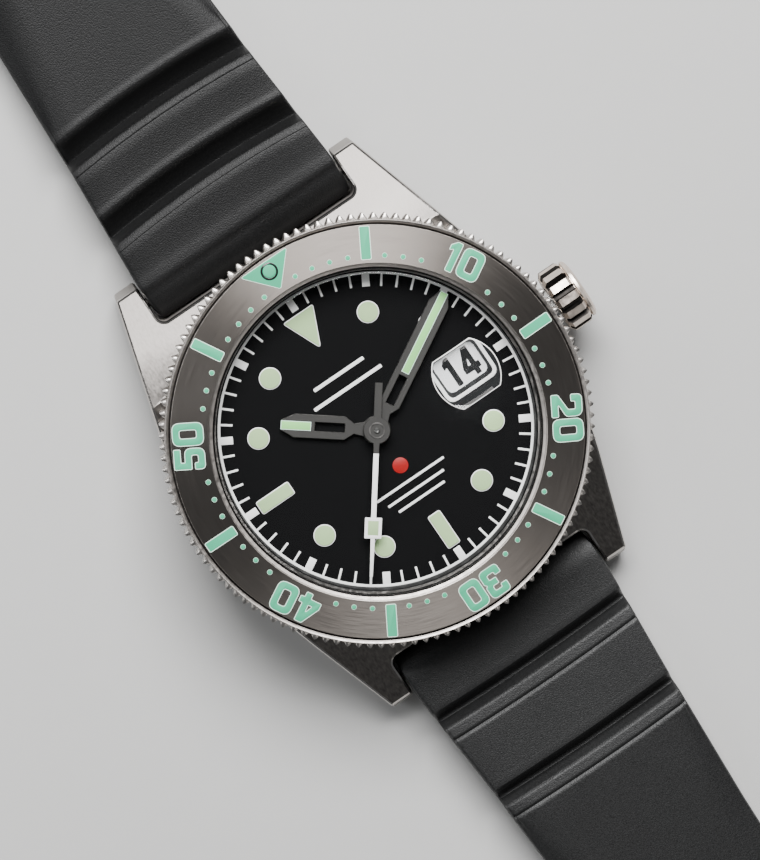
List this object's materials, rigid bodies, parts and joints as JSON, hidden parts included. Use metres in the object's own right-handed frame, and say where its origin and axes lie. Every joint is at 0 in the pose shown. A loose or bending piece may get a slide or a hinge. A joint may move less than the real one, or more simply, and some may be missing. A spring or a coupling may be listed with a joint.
{
  "type": "dive watch",
  "caption": "Automatic dive watch laid open: toothed rotating bezel with minute marks, black dial, date under a magnifier, fluted crown, pin-buckle rubber strap.",
  "frame": {"origin": "centre of the flat outer face of the case back, on the axis of the hands", "axes": "+Z out of the dial, +Y towards 12 o'clock, +X towards the crown at 3 o'clock"},
  "size_m": [0.0442, 0.2478, 0.013],
  "materials": {
    "titanium": "brushed",
    "dark_titanium": "circular brushed",
    "steel": "satin",
    "brass": "satin",
    "rhodium": "satin",
    "blued_steel": "polished",
    "hand_grey": "brushed",
    "white_paint": "matte",
    "dial_black": "matte",
    "black_plastic": "matte",
    "nitrile": "matte",
    "rubber": "matte with a fine grain",
    "sapphire": "polished",
    "mint_lume": "satin"
  },
  "bodies": {
    "case": {"case_middle": "titanium", "case_back": "titanium", "case_back_gasket": "nitrile", "crystal": "sapphire", "crystal_gasket": "black_plastic", "date_magnifier": "sapphire", "rehaut_ring": "black_plastic", "movement_holder": "black_plastic", "dial": "dial_black", "bezel_click_spring": "steel", "bezel_gasket": "nitrile", "crown_tube": "steel", "mainplate": "rhodium", "barrel_bridge": "rhodium", "train_bridge": "rhodium", "balance_cock": "rhodium", "bridge_screw_1": "blued_steel", "bridge_screw_2": "blued_steel", "bridge_screw_3": "blued_steel", "bridge_screw_4": "blued_steel", "rotor_screw": "blued_steel", "spring_bar_upper": "steel", "spring_bar_lower": "steel"},
    "bezel": {"bezel_ring": "titanium", "bezel_insert": "dark_titanium", "bezel_pip": "mint_lume"},
    "winding_clutch": {"sliding_clutch": "steel", "winding_pinion": "steel"},
    "crown_and_stem": {"crown": "titanium", "crown_gasket": "nitrile", "winding_stem": "steel"},
    "crown_wheel": {"crown_wheel": "steel"},
    "ratchet": {"ratchet_wheel": "steel", "barrel_arbor": "steel"},
    "barrel": {"mainspring_barrel": "brass", "mainspring": "steel"},
    "seconds": {"fourth_wheel": "brass", "seconds_hand": "hand_grey"},
    "minutes": {"center_wheel": "brass", "cannon_pinion": "steel", "minute_hand": "hand_grey"},
    "hours": {"hour_wheel": "brass", "hour_hand": "hand_grey"},
    "third": {"third_wheel": "brass"},
    "escape": {"escape_wheel": "brass"},
    "pallets": {"pallet_fork": "steel"},
    "balance": {"balance_wheel": "brass", "hairspring": "blued_steel"},
    "motion": {"minute_wheel": "brass"},
    "date": {"date_disc": "white_paint"},
    "rotor": {"rotor": "rhodium"},
    "upper_strap": {"strap_upper": "rubber", "fixed_keeper": "rubber", "buckle_bar": "steel"},
    "keeper": {"sliding_keeper": "rubber"},
    "buckle": {"buckle_frame": "titanium"},
    "tang": {"buckle_tang": "steel"},
    "lower_strap": {"strap_lower": "rubber"}
  },
  "joints": [
    {"name": "bezel_rotation", "type": "hinge", "parent": "case", "child": "bezel", "pos_m": [0, 0, 0.0101], "axis": [0, 0, 1], "continuous": true},
    {"name": "crown_winding", "type": "hinge", "parent": "case", "child": "winding_clutch", "pos_m": [0.0082, 0, 0.0054], "axis": [1, 0, 0], "continuous": true},
    {"name": "crown_pull", "type": "slide", "parent": "winding_clutch", "child": "crown_and_stem", "axis": [1, 0, 0], "range_m": [0, 0.0012]},
    {"name": "crown_wheel_spin", "type": "hinge", "parent": "case", "child": "crown_wheel", "pos_m": [0.0073, 0, 0.0036], "axis": [0, 0, 1], "continuous": true},
    {"name": "ratchet_spin", "type": "hinge", "parent": "case", "child": "ratchet", "pos_m": [0.00308, 0.00533, 0.0036], "axis": [0, 0, 1], "continuous": true},
    {"name": "seconds_spin", "type": "hinge", "parent": "case", "child": "seconds", "pos_m": [0, 0, 0.0097], "axis": [0, 0, -1], "continuous": true},
    {"name": "minutes_spin", "type": "hinge", "parent": "case", "child": "minutes", "pos_m": [0, 0, 0.0093], "axis": [0, 0, -1], "continuous": true},
    {"name": "hours_spin", "type": "hinge", "parent": "case", "child": "hours", "pos_m": [0, 0, 0.0089], "axis": [0, 0, -1], "continuous": true},
    {"name": "third_wheel_spin", "type": "hinge", "parent": "case", "child": "third", "pos_m": [-0.00313, 0.00313, 0.0042], "axis": [0, 0, -1], "continuous": true},
    {"name": "escape_wheel_spin", "type": "hinge", "parent": "case", "child": "escape", "pos_m": [-0.00261, -0.0029, 0.0044], "axis": [0, 0, -1], "continuous": true},
    {"name": "barrel_spin", "type": "hinge", "parent": "case", "child": "barrel", "pos_m": [0.00308, 0.00533, 0.0051], "axis": [0, 0, -1], "continuous": true},
    {"name": "minute_wheel_spin", "type": "hinge", "parent": "case", "child": "motion", "pos_m": [-0.00361, -0.00131, 0.0069], "axis": [0, 0, -1], "continuous": true},
    {"name": "pallet_rock", "type": "hinge", "parent": "case", "child": "pallets", "pos_m": [-0.00412, -0.00457, 0.0044], "axis": [0, 0, 1], "range_deg": [-5, 5]},
    {"name": "balance_swing", "type": "hinge", "parent": "case", "child": "balance", "pos_m": [-0.00555, -0.00617, 0.0049], "axis": [0, 0, 1], "range_deg": [-270, 270], "stiffness_Nm_per_rad": 0.00000035},
    {"name": "date_advance", "type": "hinge", "parent": "case", "child": "date", "pos_m": [0, 0, 0.0077], "axis": [0, 0, -1], "continuous": true},
    {"name": "rotor_spin", "type": "hinge", "parent": "case", "child": "rotor", "pos_m": [0, 0, 0.0016], "axis": [0, 0, 1], "continuous": true},
    {"name": "upper_strap_pivot", "type": "hinge", "parent": "case", "child": "upper_strap", "pos_m": [0, 0.0216, 0.0029], "axis": [1, 0, 0], "range_deg": [-75, 30]},
    {"name": "lower_strap_pivot", "type": "hinge", "parent": "case", "child": "lower_strap", "pos_m": [0, -0.0216, 0.0029], "axis": [-1, 0, 0], "range_deg": [-75, 30]},
    {"name": "keeper_slide", "type": "slide", "parent": "upper_strap", "child": "keeper", "axis": [0, 1, 0], "range_m": [-0.009, 0.005]},
    {"name": "buckle_swing", "type": "hinge", "parent": "upper_strap", "child": "buckle", "pos_m": [0, 0.0966, 0.00255], "axis": [1, 0, 0], "range_deg": [-90, 45]},
    {"name": "tang_swing", "type": "hinge", "parent": "buckle", "child": "tang", "pos_m": [0, 0.0966, 0.00255], "axis": [1, 0, 0], "range_deg": [0, 60]}
  ],
  "couplings": [
    {"joint": "crown_wheel_spin", "follows": "crown_winding", "ratio": 0.4375},
    {"joint": "ratchet_spin", "follows": "crown_winding", "ratio": -0.38889},
    {"joint": "minutes_spin", "follows": "seconds_spin", "ratio": 0.016667},
    {"joint": "hours_spin", "follows": "seconds_spin", "ratio": 0.0013889},
    {"joint": "third_wheel_spin", "follows": "seconds_spin", "ratio": -0.125},
    {"joint": "escape_wheel_spin", "follows": "seconds_spin", "ratio": -12},
    {"joint": "barrel_spin", "follows": "seconds_spin", "ratio": -0.0027778},
    {"joint": "minute_wheel_spin", "follows": "seconds_spin", "ratio": -0.0055556}
  ]
}
